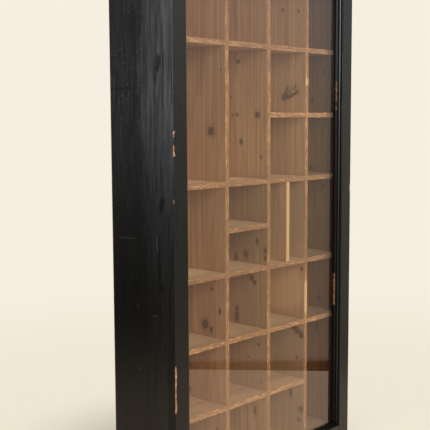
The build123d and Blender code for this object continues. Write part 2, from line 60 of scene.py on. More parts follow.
# Knots on each upright board: place along the depth, height, and radii across and along the grain.
DIVIDER_KNOTS = (
    (
        (-39, 1142, 15, 14), (-39, 644, 4, 5), (-73, 577, 5, 9), (-9, 527, 14, 17), (-36, 512, 6, 10),
        (-80, 1330, 3, 4), (60, 300, 5, 8), (-60, 190, 4, 6),
    ),
    (
        (25, 1368, 7, 6), (48, 1194, 4, 4), (30, 1195, 5, 5), (-56, 1193, 10, 9), (13, 1105, 6, 9),
        (-72, 1056, 4, 6), (57, 1251, 3, 5), (-55, 778, 6, 12), (-7, 730, 9, 12), (36, 717, 6, 14),
        (-89, 748, 6, 10), (-89, 725, 5, 8), (33, 540, 6, 10), (33, 512, 8, 20), (-20, 668, 6, 8),
        (-32, 652, 8, 9), (-44, 638, 7, 8), (-61, 430, 5, 4), (-48, 200, 6, 15), (-76, 306, 3, 5),
        (78, 212, 5, 12), (-20, 380, 3, 3),
    ),
    (
        (2, 1550, 5, 6), (-67, 1541, 5, 6), (-13, 1259, 14, 11), (-5, 1252, 9, 8), (-24, 1256, 9, 7),
        (-36, 1259, 8, 6), (-47, 1263, 8, 5), (-58, 1267, 7, 5), (-66, 1273, 5, 5), (-58, 1279, 6, 3),
        (-50, 1284, 3, 6), (-55, 1293, 4, 5), (-17, 1274, 5, 8), (-22, 1285, 3, 7), (-32, 1272, 4, 6),
        (-37, 1282, 3, 7), (-87, 663, 5, 7), (-56, 452, 14, 8), (-70, 440, 14, 9), (-86, 428, 11, 10),
        (-40, 212, 7, 16), (-86, 162, 12, 12), (-77, 123, 7, 7), (-30, 905, 3, 5), (-66, 345, 4, 6),
    ),
)
RIGHT_KNOTS = (
    (23, 1246, 9, 10), (26, 1004, 8, 11), (-13, 519, 8, 9), (-5, 412, 6, 14), (-28, 933, 5, 8),
    (-30, 1350, 5, 7),
)
LEFT_KNOTS = (
    (-75, 1345, 10, 16), (-70, 1326, 8, 12), (-62, 1296, 3, 18), (-85, 940, 8, 12), (-80, 924, 7, 12),
    (78, 1271, 46, 5), (30, 1466, 10, 40), (-76, 686, 6, 7), (-71, 760, 3, 60), (-104, 1400, 4, 60),
    (-118, 905, 6, 18), (-52, 460, 4, 60), (60, 400, 12, 22), (40, 150, 9, 14),
)
# Pale rubs and scratches on the outer left face, from the same four numbers.
LEFT_RUBS = [
    ((-OUTER_X, y, z), (30, across, along))
    for y, z, across, along in (
        (68, 825, 48, 1.4), (24, 622, 3, 7), (-52, 601, 18, 1.5), (-62, 816, 3, 30), (-104, 1450, 2, 120),
        (-51, 1440, 4, 60), (-44, 1300, 2, 34), (-76, 686, 1.6, 1.8), (-86, 1345, 2, 3), (22, 430, 4, 5),
    )
]
# Nail holes in the front of the left stile, stopped with black wax: place and radius.
STILE_NAILS = ((-438, 1336, 2.5), (-438, 982, 2.5), (-436, 818, 2), (-437, 630, 2), (-411, 1143, 3.5))
# Chips on the outer arrises of the stiles, and on the inner bead of the right moulding: place and radii.
STILE_CHIPS = (
    (-450, 1136, (4, 2, 8)), (-446, 1142, (3, 2, 4)), (-450, 1090, (5, 2, 15)), (-448, 1078, (5, 2, 5)),
    (-450, 944, (2, 2, 6)), (-449, 440, (5, 2, 22)), (-449, 410, (4, 2, 14)), (-449, 385, (2, 2, 40)),
    (-450, 374, (5, 3, 6)), (-449, 352, (4, 2, 14)), (-449, 338, (6, 2, 9)), (-450, 326, (3, 3, 6)),
)
RIGHT_STILE_CHIPS = ((450, 938, (6, 3, 12)), (449, 925, (4, 3, 6)))
BEAD_CHIPS = (
    ((388, -113, 1302), (4, 3, 12)), ((388, -113, 1283), (6, 3, 14)), ((388, -113, 1260), (4, 3, 14)),
    ((388, -113, 1246), (6, 3, 8)), ((388, -113, 1215), (5, 3, 8)), ((387, -112, 622), (5, 3, 10)),
    ((387, -112, 602), (6, 3, 12)), ((387, -112, 578), (5, 3, 16)), ((387, -112, 548), (6, 3, 16)),
    ((387, -112, 524), (5, 3, 12)),
)


# ---------------------------------------------------------------- colours, nodes and meshes


def linear(code):
    """Turn an sRGB hex colour into the linear colour that a shader reads."""
    parts = [int(code[start : start + 2], 16) / 255 for start in (1, 3, 5)]
    parts = [part / 12.92 if part <= 0.04045 else ((part + 0.055) / 1.055) ** 2.4 for part in parts]
    return (*parts, 1.0)


def add(tree, kind, links=None, out=0, stops=(), **settings):
    """Add a node to a tree, set it up, and return one of its outputs.

    A stop of a colour ramp is a place and a colour, or a level from black to white.
    """
    node = tree.nodes.new(kind)
    for name, value in settings.items():
        setattr(node, name, value)
    for index, (position, colour) in enumerate(stops):
        marks = node.color_ramp.elements
        mark = marks[index] if index < len(marks) else marks.new(position)
        mark.position = position
        mark.color = (colour, colour, colour, 1) if isinstance(colour, (int, float)) else colour
    for socket, value in (links or {}).items():
        if isinstance(value, bpy.types.NodeSocket):
            tree.links.new(value, node.inputs[socket])
        else:
            node.inputs[socket].default_value = value
    return node.outputs[out] if node.outputs else node


def new_material(name):
    """Return a new material with an empty node tree, and the tree."""
    material = bpy.data.materials.new(name)
    material.use_nodes = True
    material.node_tree.nodes.clear()
    return material, material.node_tree


def dress(material, surface, *nodes):
    """Finish a material with its surface and give it to CAD nodes in place of their plain one."""
    add(material.node_tree, "ShaderNodeOutputMaterial", {"Surface": surface})
    for name in nodes:
        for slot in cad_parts[name].material_slots:
            slot.material = material


def named(*starts):
    """Return the CAD nodes whose names begin with one of some words."""
    return [name for name in sorted(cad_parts) if name.startswith(starts)]


# ---------------------------------------------------------------- figure of the timber


def board_place(tree, grain):
    """Return the place in the board in metres, turned so that the grain runs along Z."""
    place = add(tree, "ShaderNodeTexCoord", out="Object")
    if grain == "X":
        place = add(tree, "ShaderNodeMapping", {0: place, "Rotation": (0, math.pi / 2, 0)})
    return place


def case_place(tree):
    """Return the place in the case in metres, whole and as its X, Y and Z."""
    own = add(tree, "ShaderNodeTexCoord", out="Object")
    return own, add(tree, "ShaderNodeSeparateXYZ", {0: own}).node.outputs


def nearest_of(tree, place, spots):
    """Return the distance to the nearest of some spots, in radii of that spot.

    A spot is its middle and its three radii in millimetres.
    """
    nearest = None
    for middle, radii in spots:
        away = add(tree, VECTOR, {0: place, 1: [c / 1000 for c in middle]}, operation="SUBTRACT")
        away = add(tree, VECTOR, {0: away, 1: [1000 / c for c in radii]}, operation="MULTIPLY")
        away = add(tree, VECTOR, {0: away}, "Value", operation="LENGTH")
        if nearest is not None:
            away = add(tree, MATH, {0: nearest, 1: away}, operation="MINIMUM")
        nearest = away
    return nearest


def scattered_knots(tree, place, seed):
    """Return the distance in radii to knots scattered about 200 mm apart across and 500 mm along."""
    cells = add(tree, VECTOR, {0: place, 1: (5.0, 5.0, 2.0)}, operation="MULTIPLY")
    links = {"Vector": cells, "W": seed, "Scale": 1.0}
    cell = add(tree, "ShaderNodeTexVoronoi", links, "Distance", voronoi_dimensions="4D").node
    chance = add(tree, "ShaderNodeSeparateColor", {0: cell.outputs["Color"]}, "Red")
    absent = add(tree, RANGE, {0: chance, 1: 0.3, 2: 0.7, 3: 0.0, 4: 3.0})
    away = add(tree, MATH, {0: cell.outputs["Distance"], 1: 16.0}, operation="MULTIPLY")
    return add(tree, MATH, {0: away, 1: absent}, operation="ADD")


def pine_figure(tree, place, knots=None):
    """Return the rings, fibres and knot distance of a plain-sawn pine board."""
    seed = add(tree, "ShaderNodeObjectInfo", out="Random")
    seed = add(tree, MATH, {0: seed, 1: 41.0}, operation="MULTIPLY")
    wander = add(tree, NOISE, {"Vector": place, "Scale": 90.0, "Detail": 2.0}, "Color")
    wander = add(tree, VECTOR, {0: wander, 1: (0.5, 0.5, 0.5)}, operation="SUBTRACT")
    wander = add(tree, VECTOR, {0: wander, "Scale": 0.008}, operation="SCALE")
    bent = add(tree, VECTOR, {0: place, 1: wander}, operation="ADD")
    if knots:
        knot = nearest_of(tree, bent, knots)
    else:
        knot = scattered_knots(tree, bent, seed)
    # Rings lie about 9 mm apart on the face and run round each knot.
    stretched = add(tree, VECTOR, {0: place, 1: (12.0, 12.0, 0.8)}, operation="MULTIPLY")
    links = {"Vector": stretched, "W": seed, "Scale": 1.0, "Detail": 2.0, "Roughness": 0.4}
    lie = add(tree, NOISE, links, noise_dimensions="4D")
    lie = add(tree, MATH, {0: lie, 1: 24.0}, operation="MULTIPLY")
    swirl = add(tree, MATH, {0: knot, 1: 0.7}, operation="ADD")
    swirl = add(tree, MATH, {0: 3.0, 1: swirl}, operation="DIVIDE")
    ring = add(tree, MATH, {0: lie, 1: swirl}, operation="ADD")
    ring = add(tree, MATH, {0: ring, 1: 1.0}, operation="PINGPONG")
    # Fibres are about 1.5 mm wide, as coarse as shows.
    stretched = add(tree, VECTOR, {0: place, 1: (420.0, 420.0, 7.0)}, operation="MULTIPLY")
    fibre = add(tree, NOISE, {"Vector": stretched, "Scale": 1.0, "Detail": 3.0, "Roughness": 0.6})
    return ring, fibre, knot, seed


def stained_pine_surface(
    tree, looks, grain, knots=None, cut_edge=True, tone="#ffffff", pale=(), coats=(), shaded=False,
    painted_stile_shadow=False,
):
    """Return the shader of planed pine under a thin brown stain.

    The stain leaves the rings and the dark knots showing and dries to a low sheen. The cut front edges
    were left rough and took little stain. Pale spots are bare places on those edges, and coats are places
    where the stain is thicker or thinner. Shaded boards are painted darker in the right-hand column, and on
    their edges with the painted shadow of the right-hand moulding; a board with a painted stile shadow is
    painted darker in a strip at the front, for the shadow of the door's stile.
    """
    place = board_place(tree, grain)
    ring, fibre, knot, seed = pine_figure(tree, place, knots)
    own, apart = case_place(tree)
    # The stain took unevenly, in blotches about 70 mm wide, and darkened grain lines about 5 mm apart.
    blotch = add(tree, VECTOR, {0: place, 1: (14.0, 14.0, 2.0)}, operation="MULTIPLY")
    links = {"Vector": blotch, "W": seed, "Scale": 1.0, "Detail": 3.0}
    blotch = add(tree, NOISE, links, noise_dimensions="4D")
    late = add(tree, RANGE, {0: ring, 1: 0.3, 2: 1.0, 3: 0.0, 4: 0.22}, interpolation_type="SMOOTHSTEP")
    dark = add(tree, RANGE, {0: fibre, 1: 0.3, 2: 0.75, 3: 0.0, 4: 0.4})
    dark = add(tree, MATH, {0: late, 1: dark}, operation="ADD")
    line = add(tree, VECTOR, {0: place, 1: (190.0, 190.0, 1.6)}, operation="MULTIPLY")
    line = add(tree, NOISE, {"Vector": line, "W": seed, "Scale": 1.0, "Detail": 2.0}, noise_dimensions="4D")
    line = add(tree, RANGE, {0: line, 1: 0.38, 2: 0.66, 3: -0.12, 4: 0.44})
    dark = add(tree, MATH, {0: dark, 1: line}, operation="ADD")
    blot = add(tree, RANGE, {0: blotch, 1: 0.3, 2: 0.7, 3: -0.25, 4: 0.3})
    dark = add(tree, MATH, {0: dark, 1: blot}, operation="ADD", use_clamp=True)
    links = {0: dark, 6: looks.stain_light, 7: looks.stain_dark}
    colour = add(tree, MIX, links, 2, data_type="RGBA")
    colour = add(tree, MIX, {0: 1.0, 6: colour, 7: linear(tone)}, 2, data_type="RGBA", blend_type="MULTIPLY")
    for middle, radii, code in coats:
        coat = nearest_of(tree, own, [(middle, radii)])
        coat = add(tree, RANGE, {0: coat, 1: 1.2, 2: 0.7, 3: 0.0, 4: 0.5}, interpolation_type="SMOOTHSTEP")
        colour = add(tree, MIX, {0: coat, 6: colour, 7: linear(code)}, 2, data_type="RGBA")
    if painted_stile_shadow:
        # Painted shadow: a strip at the front, in the shadow of the door's right stile, is painted a deeper
        # brown.
        strip = add(tree, RANGE, {0: apart["Y"], 1: -0.054, 2: -0.058})
        links = {0: strip, 6: colour, 7: linear("#dcbf95")}
        colour = add(tree, MIX, links, 2, data_type="RGBA", blend_type="MULTIPLY")
    halo = add(tree, RANGE, {0: knot, 1: 2.3, 2: 0.95, 3: 0.0, 4: 0.45}, interpolation_type="SMOOTHSTEP")
    colour = add(tree, MIX, {0: halo, 6: colour, 7: looks.knot_halo}, 2, data_type="RGBA")
    core = add(tree, RANGE, {0: knot, 1: 1.05, 2: 0.8, 3: 0.0, 4: 0.85}, interpolation_type="SMOOTHSTEP")
    colour = add(tree, MIX, {0: core, 6: colour, 7: looks.knot}, 2, data_type="RGBA")
    heart = add(tree, RANGE, {0: knot, 1: 0.65, 2: 0.3, 3: 0.0, 4: 0.5}, interpolation_type="SMOOTHSTEP")
    colour = add(tree, MIX, {0: heart, 6: colour, 7: looks.knot_halo}, 2, data_type="RGBA")
    # Painted light and thin stain: the upper faces are painted paler, as lit from above and with the stain
    # rubbed thin and dusty, more so above 0.6 m. Towards the front they are darker.
    up = add(tree, "ShaderNodeNewGeometry", out="Normal")
    up = add(tree, "ShaderNodeSeparateXYZ", {0: up}, "Z")
    up = add(tree, RANGE, {0: up, 1: 0.5, 2: 0.9})
    inside = add(tree, MATH, {0: apart["Z"], 1: TOP_Z}, operation="LESS_THAN")
    up = add(tree, MATH, {0: up, 1: inside}, operation="MULTIPLY")
    top_light_and_dust = add(tree, RANGE, {0: apart["Z"], 1: 0.6, 2: 0.35, 3: 0.75, 4: 0.2})
    if shaded:
        # Painted shade: in the right-hand column the boards are painted darker and their tops less pale.
        corner = add(tree, RANGE, {0: apart["X"], 1: COLUMN_X - 0.014, 2: COLUMN_X, 3: 0.0, 4: 0.45})
        colour = add(tree, MIX, {0: corner, 6: colour, 7: looks.knot}, 2, data_type="RGBA")
        corner = add(tree, RANGE, {0: apart["X"], 1: COLUMN_X - 0.014, 2: COLUMN_X, 3: 1.0, 4: 0.4})
        top_light_and_dust = add(tree, MATH, {0: top_light_and_dust, 1: corner}, operation="MULTIPLY")
    top_light_and_dust = add(tree, MATH, {0: up, 1: top_light_and_dust}, operation="MULTIPLY")
    colour = add(tree, MIX, {0: top_light_and_dust, 6: colour, 7: looks.lit_dusty_top}, 2, data_type="RGBA")
    darker_front = add(tree, RANGE, {0: apart["Y"], 1: -0.01, 2: -0.09, 3: 0.0, 4: 0.5})
    used = add(tree, RANGE, {0: apart["Z"], 1: 0.25, 2: 0.33})
    darker_front = add(tree, MATH, {0: darker_front, 1: used}, operation="MULTIPLY")
    darker_front = add(tree, MATH, {0: up, 1: darker_front}, operation="MULTIPLY")
    colour = add(tree, MIX, {0: darker_front, 6: colour, 7: looks.knot_halo}, 2, data_type="RGBA")
    rough = add(tree, RANGE, {0: dark, 1: 0.0, 2: 1.0, 3: 0.5, 4: 0.66})
    height = add(tree, MATH, {0: fibre, 1: late}, operation="SUBTRACT")
    if cut_edge:
        # Sawn fibres are drawn as streaks 3 mm by 20 mm, coarser than real ones, pale where they tore and
        # dark where the stain sat.
        torn = add(tree, VECTOR, {0: place, 1: (300.0, 300.0, 50.0)}, operation="MULTIPLY")
        torn = add(tree, NOISE, {"Vector": torn, "Scale": 1.0, "Detail": 5.0, "Roughness": 0.75})
        reach = add(tree, RANGE, {0: torn, 1: 0.3, 2: 0.7, 3: 0.0002, 4: 0.0008})
        depth = add(tree, MATH, {0: apart["Y"], 1: reach}, operation="SUBTRACT")
        edge = add(tree, MATH, {0: depth, 1: EDGE_Y}, operation="LESS_THAN")
        stops = ((0.39, looks.edge_dark), (0.46, looks.edge), (0.53, looks.edge), (0.60, looks.edge_torn))
        sawn = add(tree, "ShaderNodeValToRGB", {0: torn}, stops=stops)
        sawn = add(tree, MIX, {0: blot, 6: sawn, 7: looks.edge_dark}, 2, data_type="RGBA")
        # The edges are darkest about 0.8 m up and above 1.5 m, and those of uprights also at the foot.
        foot = 0.35 if grain == "Z" else 0.0
        heights = ((0.3, foot), (0.52, 0.1), (0.68, 0.4), (0.9, 0.4), (1.15, 0.0), (1.26, 0.0), (1.56, 0.5))
        edge_darkening = add(tree, MATH, {0: apart["Z"], 1: 0.5}, operation="MULTIPLY")
        edge_darkening = add(tree, "ShaderNodeValToRGB", {0: edge_darkening}, stops=[(z / 2, level) for z, level in heights])
        sawn = add(tree, MIX, {0: edge_darkening, 6: sawn, 7: looks.edge_dark}, 2, data_type="RGBA")
        if pale:
            fresh = nearest_of(tree, own, pale)
            fresh = add(tree, MATH, {0: fresh, 1: torn}, operation="ADD")
            fresh = add(tree, RANGE, {0: fresh, 1: 1.55, 2: 1.3})
            fresh = add(tree, MATH, {0: fresh, 1: 0.85}, operation="MULTIPLY")
            sawn = add(tree, MIX, {0: fresh, 6: sawn, 7: looks.edge_pale}, 2, data_type="RGBA")
        if shaded:
            # Painted shadow: nearest the right-hand moulding the edges are painted dark, as the moulding
            # shades them.
            moulding_shadow = add(tree, RANGE, {0: apart["X"], 1: 0.341, 2: 0.352, 3: 0.0, 4: 0.5})
            moulding_shadow_deep = add(tree, RANGE, {0: apart["X"], 1: 0.362, 2: 0.372, 3: 0.0, 4: 0.15})
            moulding_shadow = add(tree, MATH, {0: moulding_shadow, 1: moulding_shadow_deep}, operation="ADD")
            sawn = add(tree, MIX, {0: moulding_shadow, 6: sawn, 7: linear("#2c2015")}, 2, data_type="RGBA")
        colour = add(tree, MIX, {0: edge, 6: colour, 7: sawn}, 2, data_type="RGBA")
        rough = add(tree, MATH, {0: rough, 1: edge}, operation="MAXIMUM")
        rough = add(tree, MATH, {0: rough, 1: 0.8}, operation="MINIMUM")
    bump = add(tree, "ShaderNodeBump", {"Height": height, "Strength": 0.35, "Distance": 0.0006}, out="Normal")
    links = {"Base Color": colour, "Roughness": rough, "Normal": bump, "IOR": 1.48}
    return add(tree, SURFACE, links)


def black_stain_surface(tree, looks, grain, finishes, knots=None, chips=(), rubs=(), arrises=True):
    """Return the shader of pine under black stain and a rubbed polish.

    A finish is its gloss, its roughness, where it takes over from the ones before it, and the grey that it
    is painted to there, a painted highlight that is greyer the higher it is. The first one covers everything.
    The polish shows the grain as streaks of changing sheen, and it has gone from the sharp arrises, where a
    painted highlight lies stronger above waist height. Rubs are given for an outer side face, which was
    rubbed grey along its front, that grey painted stronger towards the top as a painted reflection.
    """
    place = board_place(tree, grain)
    _, fibre, knot, seed = pine_figure(tree, place, knots)
    # Open grain gathers into streaks about 3 mm and 12 mm wide, as coarse as shows.
    streaks = []
    for across, along in ((330.0, 14.0), (85.0, 6.0)):
        streak = add(tree, VECTOR, {0: place, 1: (across, across, along)}, operation="MULTIPLY")
        links = {"Vector": streak, "W": seed, "Scale": 1.0, "Detail": 5.0, "Roughness": 0.6}
        streaks.append(add(tree, NOISE, links, noise_dimensions="4D"))
    thin = add(tree, RANGE, {0: streaks[0], 1: 0.36, 2: 0.68, 3: 0.0, 4: 0.55})
    wide = add(tree, RANGE, {0: streaks[1], 1: 0.36, 2: 0.66, 3: 0.0, 4: 0.45})
    shade = add(tree, MATH, {0: thin, 1: wide}, operation="ADD", use_clamp=True)
    own, apart = case_place(tree)
    half = add(tree, MATH, {0: apart["Z"], 1: 0.5}, operation="MULTIPLY")
    colour = add(tree, MIX, {0: shade, 6: looks.black, 7: looks.black_streak}, 2, data_type="RGBA")
    if rubs:
        # The face is rubbed grey as far back as a wavering line. Its grey is painted fainter towards the foot
        # and stronger towards the top, a painted reflection of the pale surroundings.
        heights = ((0, 0.02), (0.5, 0.04), (0.68, 0.08), (0.9, 0.15), (1.1, 0.42), (1.25, 0.68), (1.46, 0.55))
        high = add(tree, "ShaderNodeValToRGB", {0: half}, stops=[(z / 2, level) for z, level in heights])
        backs = ((0.60, 0.2), (0.80, 0.28), (0.94, 0.32), (1.12, 0.50), (1.353, 0.66), (1.45, 0.36))
        line = add(tree, "ShaderNodeValToRGB", {0: half}, stops=[(z / 2, back) for z, back in backs])
        line = add(tree, MATH, {0: line, 1: 0.08, 2: -0.04}, operation="MULTIPLY_ADD")
        ragged = add(tree, VECTOR, {0: place, 1: (60.0, 60.0, 22.0)}, operation="MULTIPLY")
        ragged = add(tree, NOISE, {"Vector": ragged, "Scale": 1.0, "Detail": 5.0, "Roughness": 0.7})
        ragged = add(tree, RANGE, {0: ragged, 1: 0.25, 2: 0.75, 3: -0.028, 4: 0.028})
        line = add(tree, MATH, {0: line, 1: ragged}, operation="ADD")
        line = add(tree, MATH, {0: apart["Y"], 1: line}, operation="SUBTRACT")
        front = add(tree, RANGE, {0: line, 1: 0.016, 2: -0.02}, interpolation_type="SMOOTHSTEP")
        amount = add(tree, MATH, {0: shade, 1: 0.9, 2: 0.04}, operation="MULTIPLY_ADD")
        nearer = add(tree, RANGE, {0: apart["Y"], 1: -0.02, 2: -0.09, 3: 0.7, 4: 1.25})
        amount = add(tree, MATH, {0: amount, 1: nearer}, operation="MULTIPLY")
        behind = add(tree, RANGE, {0: streaks[0], 1: 0.45, 2: 0.75, 3: 0.0, 4: 0.28})
        amount = add(tree, MIX, {0: front, 2: behind, 3: amount})
        amount = add(tree, MATH, {0: amount, 1: high}, operation="MULTIPLY")
        across = add(tree, MATH, {0: apart["X"]}, operation="ABSOLUTE")
        outer = add(tree, MATH, {0: across, 1: OUTER_X / 1000 - 0.0005}, operation="GREATER_THAN")
        amount = add(tree, MATH, {0: amount, 1: outer}, operation="MULTIPLY", use_clamp=True)
        colour = add(tree, MIX, {0: amount, 6: colour, 7: looks.black_rubbed_and_sheen}, 2, data_type="RGBA")
        # Grit and lint in the polish, specks 1 to 3 mm long, most of it towards the top.
        grit = add(tree, VECTOR, {0: own, 1: (90.0, 90.0, 50.0)}, operation="MULTIPLY")
        grit = add(tree, "ShaderNodeTexVoronoi", {"Vector": grit, "Scale": 1.0}, "Distance")
        grit = add(tree, RANGE, {0: grit, 1: 0.13, 2: 0.05})
        most = add(tree, RANGE, {0: high, 1: 0.4, 2: 0.65, 3: 0.0, 4: 0.8})
        grit = add(tree, MATH, {0: grit, 1: most}, operation="MULTIPLY")
        grit = add(tree, MATH, {0: grit, 1: outer}, operation="MULTIPLY", use_clamp=True)
        colour = add(tree, MIX, {0: grit, 6: colour, 7: linear("#77777a")}, 2, data_type="RGBA")
        rub = nearest_of(tree, own, rubs)
        rub = add(tree, RANGE, {0: rub, 1: 1.2, 2: 0.5, 3: 0.0, 4: 0.16}, interpolation_type="SMOOTHSTEP")
        colour = add(tree, MIX, {0: rub, 6: colour, 7: linear("#77777a")}, 2, data_type="RGBA")
    dim = add(tree, RANGE, {0: knot, 1: 1.8, 2: 0.6, 3: 0.0, 4: 0.85}, interpolation_type="SMOOTHSTEP")
    colour = add(tree, MIX, {0: dim, 6: colour, 7: linear("#080808")}, 2, data_type="RGBA")
    # Polish worn from the arrises, in broken lines 1 mm wide. Above waist height the lines are painted
    # stronger, a painted highlight along the arrises.
    flat = add(tree, "ShaderNodeNewGeometry", out="Normal")
    soft = add(tree, "ShaderNodeBevel", {"Radius": 0.0012}, samples=6)
    if arrises:
        bend = add(tree, VECTOR, {0: flat, 1: soft}, "Value", operation="DOT_PRODUCT")
        arris_wear_and_highlight = add(tree, VECTOR, {0: place, 1: (160.0, 160.0, 35.0)}, operation="MULTIPLY")
        arris_wear_and_highlight = add(tree, NOISE, {"Vector": arris_wear_and_highlight, "Scale": 1.0, "Detail": 3.0, "Roughness": 0.7})
        whole = add(tree, RANGE, {0: apart["Z"], 1: 0.9, 2: 1.25, 3: 0.0, 4: 0.25})
        arris_wear_and_highlight = add(tree, MATH, {0: arris_wear_and_highlight, 1: whole}, operation="ADD")
        arris_wear_and_highlight = add(tree, RANGE, {0: arris_wear_and_highlight, 1: 0.42, 2: 0.68, 3: 0.86, 4: 0.985})
        arris_wear_and_highlight = add(tree, MATH, {0: bend, 1: arris_wear_and_highlight}, operation="LESS_THAN")
        most = add(tree, RANGE, {0: apart["Z"], 1: 0.8, 2: 1.25, 3: 0.35, 4: 0.85})
        arris_wear_and_highlight = add(tree, MATH, {0: arris_wear_and_highlight, 1: most}, operation="MULTIPLY")
        colour = add(tree, MIX, {0: arris_wear_and_highlight, 6: colour, 7: looks.worn}, 2, data_type="RGBA")
    chip = 0.0
    if chips:
        ragged = add(tree, NOISE, {"Vector": own, "Scale": 230.0, "Detail": 4.0, "Roughness": 0.7}, "Color")
        ragged = add(tree, VECTOR, {0: ragged, 1: (0.5, 0.5, 0.5)}, operation="SUBTRACT")
        ragged = add(tree, VECTOR, {0: ragged, 1: (0.006, 0.004, 0.022)}, operation="MULTIPLY")
        ragged = add(tree, VECTOR, {0: own, 1: ragged}, operation="ADD")
        chip = nearest_of(tree, ragged, chips)
        chip = add(tree, MATH, {0: chip, 1: 1.0}, operation="LESS_THAN")
        bare = add(tree, NOISE, {"Vector": own, "Scale": 300.0, "Detail": 2.0})
        bare = add(tree, RANGE, {0: bare, 1: 0.35, 2: 0.65})
        bare = add(tree, MIX, {0: bare, 6: looks.chip_dark, 7: looks.chip}, 2, data_type="RGBA")
    height = add(tree, MATH, {0: thin, 1: fibre}, operation="ADD")
    links = {"Height": height, "Strength": 0.3, "Distance": 0.0004, "Normal": soft}
    bump = add(tree, "ShaderNodeBump", links, out="Normal")
    # Painted highlight: a finish given a grey, as on a bead's crest, is painted greyer the higher it is.
    heights = ((0.80, 0.02), (0.94, 0.15), (1.16, 0.32), (1.38, 0.85))
    rubbed = add(tree, "ShaderNodeValToRGB", {0: half}, stops=[(z / 2, level) for z, level in heights])
    surface = None
    for gloss, sheen, where, grey in finishes:
        rough = add(tree, RANGE, {0: shade, 1: 0.0, 2: 1.0, 3: sheen + 0.12, 4: sheen})
        rough = add(tree, MATH, {0: rough, 1: chip}, operation="MAXIMUM")
        shown = colour
        if grey:
            shown = add(tree, MIX, {0: rubbed, 6: shown, 7: linear(grey)}, 2, data_type="RGBA")
        if chips:
            shown = add(tree, MIX, {0: chip, 6: shown, 7: bare}, 2, data_type="RGBA")
        links = {"Base Color": shown, "Roughness": rough, "Normal": bump, "IOR": 1.5}
        layer = add(tree, SURFACE, {**links, "Specular IOR Level": gloss})
        links = {0: where, 1: surface, 2: layer}
        surface = layer if where is None else add(tree, "ShaderNodeMixShader", links)
    return surface


# ---------------------------------------------------------------- settings


def swatch(name, description, code):
    """Return the setting that holds one colour, given in sRGB hex."""
    return FloatVectorProperty(
        name=name, description=description, subtype="COLOR", size=4, min=0, max=1, default=linear(code),
    )


class CASE_PG_looks(bpy.types.PropertyGroup):
    """Colours of the finishes."""

    stain_light: swatch("Stain, early wood", "Brown stain over the soft early wood", "#c5936b")
    stain_dark: swatch(
        "Stain, late wood", "Brown stain over the hard late wood and in the fibres", "#9f6d46",
    )
    # Partly painted light: the paleness of the upper faces also stands for the light from above.
    lit_dusty_top: swatch("Rubbed top", "Upper faces of the shelves, where the stain has gone thin", "#f6cfa6")
    knot: swatch("Knot", "Middle of a knot under brown stain", "#472f1f")
    knot_halo: swatch("Knot surround", "Resinous wood round a knot", "#7a4c2b")
    edge: swatch("Sawn edge", "Front edges of the dividers and shelves", "#9b6843")
    edge_dark: swatch("Sawn edge, stained", "Where stain has gathered on the front edges", "#724e34")
    edge_torn: swatch("Sawn edge, torn", "Pale torn fibres on the front edges", "#d79f6e")
    edge_pale: swatch("Sawn edge, pale", "Front edges that took no stain", "#cf9f70")
    raw_light: swatch(
        "Raw pine, early wood", "Unfinished pine behind the plinth and under the bottom", "#b08a5e",
    )
    raw_dark: swatch("Raw pine, late wood", "Late wood and fibres of unfinished pine", "#8c6840")
    black: swatch("Black", "Black stain in the open grain", "#050505")
    black_streak: swatch("Black, streaks", "Black stain over hard grain, where it is thin", "#151515")
    # Partly a painted reflection: this grey is laid on more the higher the face.
    black_rubbed_and_sheen: swatch("Black, rubbed", "Black stain on the smooth front part of the sides", "#6a6b71")
    # Also the painted highlight along the upper arrises.
    worn: swatch("Worn arris", "Arrises where the polish has worn", "#8b8a88")
    steel: swatch("Steel", "Bare mild steel", "#b4b1ab")
    steel_dull: swatch("Steel, dull", "Mild steel dulled in air", "#8b8781")
    rust: swatch("Rust", "Thin rust on the steel", "#6e452c")
    plastic: swatch("Plastic", "Brown plastic of the catch housings", "#4a3323")
    plastic_scuffed: swatch("Plastic, scuffed", "Scuffs on the plastic", "#6b5443")
    chip: swatch("Chip", "Bare wood where an arris is chipped", "#b28a68")
    chip_dark: swatch("Chip, dark", "Bare wood with dirt in it", "#634530")


class CASE_PG_studio(bpy.types.PropertyGroup):
    """Light, floor and camera."""

    backdrop: swatch("Backdrop", "Pale backdrop behind the case", "#f6efe1")
    floor: swatch("Floor", "Pale floor", "#f3ebd8")
    ambient: FloatProperty(
        name="Ambient light", description="Strength of the even light from all round", default=0.35, min=0,
    )
    key: FloatProperty(
        name="Key light", description="Power of the large lamp almost straight ahead", default=205.0, min=0,
        subtype="POWER",
    )
    fill: FloatProperty(
        name="Fill light", description="Power of the large lamp at the right", default=60.0, min=0,
        subtype="POWER",
    )
    overhead: FloatProperty(
        name="Overhead light", description="Power of the large lamp above the case", default=62.0, min=0,
        subtype="POWER",
    )
    lens: FloatProperty(
        name="Lens", description="Focal length of the camera, mm", default=76.966, min=1, unit="CAMERA",
    )


# ---------------------------------------------------------------- operators


